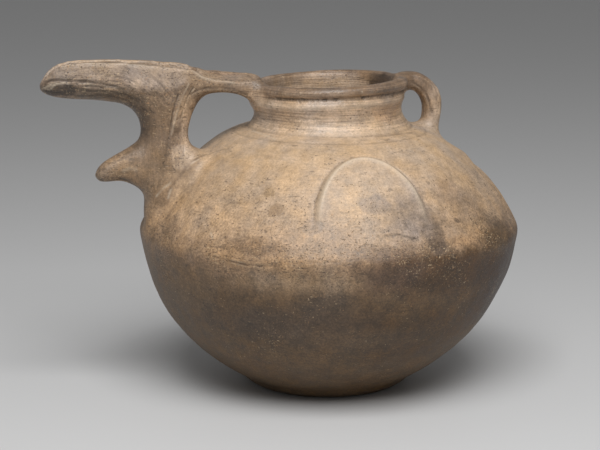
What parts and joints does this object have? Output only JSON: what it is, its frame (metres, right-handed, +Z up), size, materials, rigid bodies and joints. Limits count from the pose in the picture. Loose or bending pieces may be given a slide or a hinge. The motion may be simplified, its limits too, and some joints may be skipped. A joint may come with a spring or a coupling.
{
  "type": "bridge-spouted pitcher",
  "caption": "Round-bodied clay pitcher with a flat base, short neck, small loop handle and an open beak-like trough spout joined to the rim by a bridge.",
  "frame": {"origin": "centre of the flat underside of the base pad", "axes": "+Z up, -X toward the tip of the spout, +X toward the loop handle, -Y toward the front boss"},
  "size_m": [0.297, 0.235, 0.2087],
  "materials": {
    "shoulder_clay": "burnished buff earthenware, unglazed",
    "bowl_clay": "burnished earthenware with dark fire clouds, unglazed",
    "base_clay": "worn, smoothed earthenware, unglazed",
    "neck_clay": "burnished earthenware with level burnishing strokes, unglazed",
    "spout_clay": "burnished earthenware, sooty under the trough, unglazed"
  },
  "bodies": {
    "root": {"base_pad": "base_clay", "lower_bowl": "bowl_clay", "shoulder": "shoulder_clay", "neck": "neck_clay", "neck_root_coil": "neck_clay", "rim_roll": "neck_clay", "spout_pipe": "spout_clay", "spout_root_fillet": "shoulder_clay", "spout_lug": "spout_clay", "spout_trough": "spout_clay", "bridge_strap": "spout_clay", "bridge_tail": "shoulder_clay", "loop_handle": "neck_clay", "handle_foot_pad": "shoulder_clay", "shoulder_boss_front": "shoulder_clay", "shoulder_boss_back": "shoulder_clay", "shoulder_boss_handle": "shoulder_clay"}
  },
  "joints": []
}
